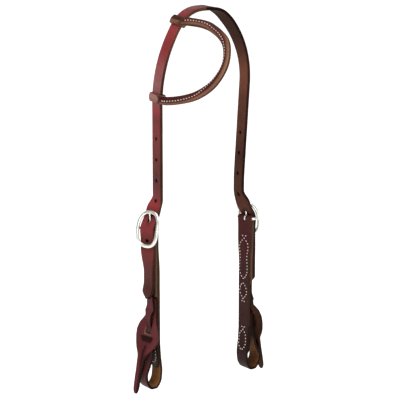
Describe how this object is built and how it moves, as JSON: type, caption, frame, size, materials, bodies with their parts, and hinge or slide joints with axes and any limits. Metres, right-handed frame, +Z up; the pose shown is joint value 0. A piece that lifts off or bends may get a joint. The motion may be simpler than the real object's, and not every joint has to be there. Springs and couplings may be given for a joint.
{
  "type": "western one-ear headstall",
  "caption": "Leather bridle headstall with a sliding ear loop, centre-bar buckles on both cheeks and quick-change loops for a bit.",
  "frame": {"origin": "underside of the crown at its highest point, where it lies on the horse's poll", "axes": "+Z up, -Y towards the horse's face, where the ear loop stands out; -X is the off side with the ear loop, +X the near side"},
  "size_m": [0.1879, 0.087, 0.4673],
  "materials": {
    "crown_leather": "satin burgundy harness leather",
    "cheek_leather": "oiled dark burgundy harness leather",
    "latch_leather": "oiled dark burgundy harness leather",
    "ear_leather": "polished dark burgundy leather",
    "lining_leather": "matt brown flesh side",
    "thread": "waxed pale thread",
    "buckle_steel": "polished stainless steel"
  },
  "bodies": {
    "crown": {"crown_strap": "crown_leather", "off_buckle_frame": "buckle_steel", "near_buckle_frame": "buckle_steel"},
    "ear": {"ear_loop": "lining_leather", "ear_facing": "ear_leather", "ear_seam": "thread"},
    "off_tongue": {"off_buckle_tongue": "buckle_steel"},
    "near_tongue": {"near_buckle_tongue": "buckle_steel"},
    "off_cheek": {"off_cheek_strap": "cheek_leather", "off_latch_strap": "latch_leather", "off_loop_backing": "lining_leather", "off_fold_seam": "thread", "off_latch_seam": "thread", "off_loop_seam": "thread"},
    "near_cheek": {"near_cheek_strap": "cheek_leather", "near_latch_strap": "latch_leather", "near_loop_backing": "lining_leather", "near_fold_seam": "thread", "near_latch_seam": "thread", "near_loop_seam": "thread"}
  },
  "joints": [
    {"name": "ear_slide", "type": "hinge", "parent": "crown", "child": "ear", "pos_m": [0.10617, 0, -0.10626], "axis": [0, 1, 0], "range_deg": [-2, 0.8]},
    {"name": "off_tongue_pivot", "type": "hinge", "parent": "crown", "child": "off_tongue", "pos_m": [-0.0707, 0, -0.257], "axis": [0.454, -0.891, 0], "range_deg": [0, 6]},
    {"name": "near_tongue_pivot", "type": "hinge", "parent": "crown", "child": "near_tongue", "pos_m": [0.0635, 0, -0.263], "axis": [-0.4384, 0.8988, 0], "range_deg": [0, 6]},
    {"name": "off_cheek_swing", "type": "hinge", "parent": "crown", "child": "off_cheek", "pos_m": [-0.0707, 0, -0.257], "axis": [0.454, -0.891, 0], "range_deg": [0, 15]},
    {"name": "near_cheek_swing", "type": "hinge", "parent": "crown", "child": "near_cheek", "pos_m": [0.0635, 0, -0.263], "axis": [-0.4384, 0.8988, 0], "range_deg": [0, 15]}
  ]
}
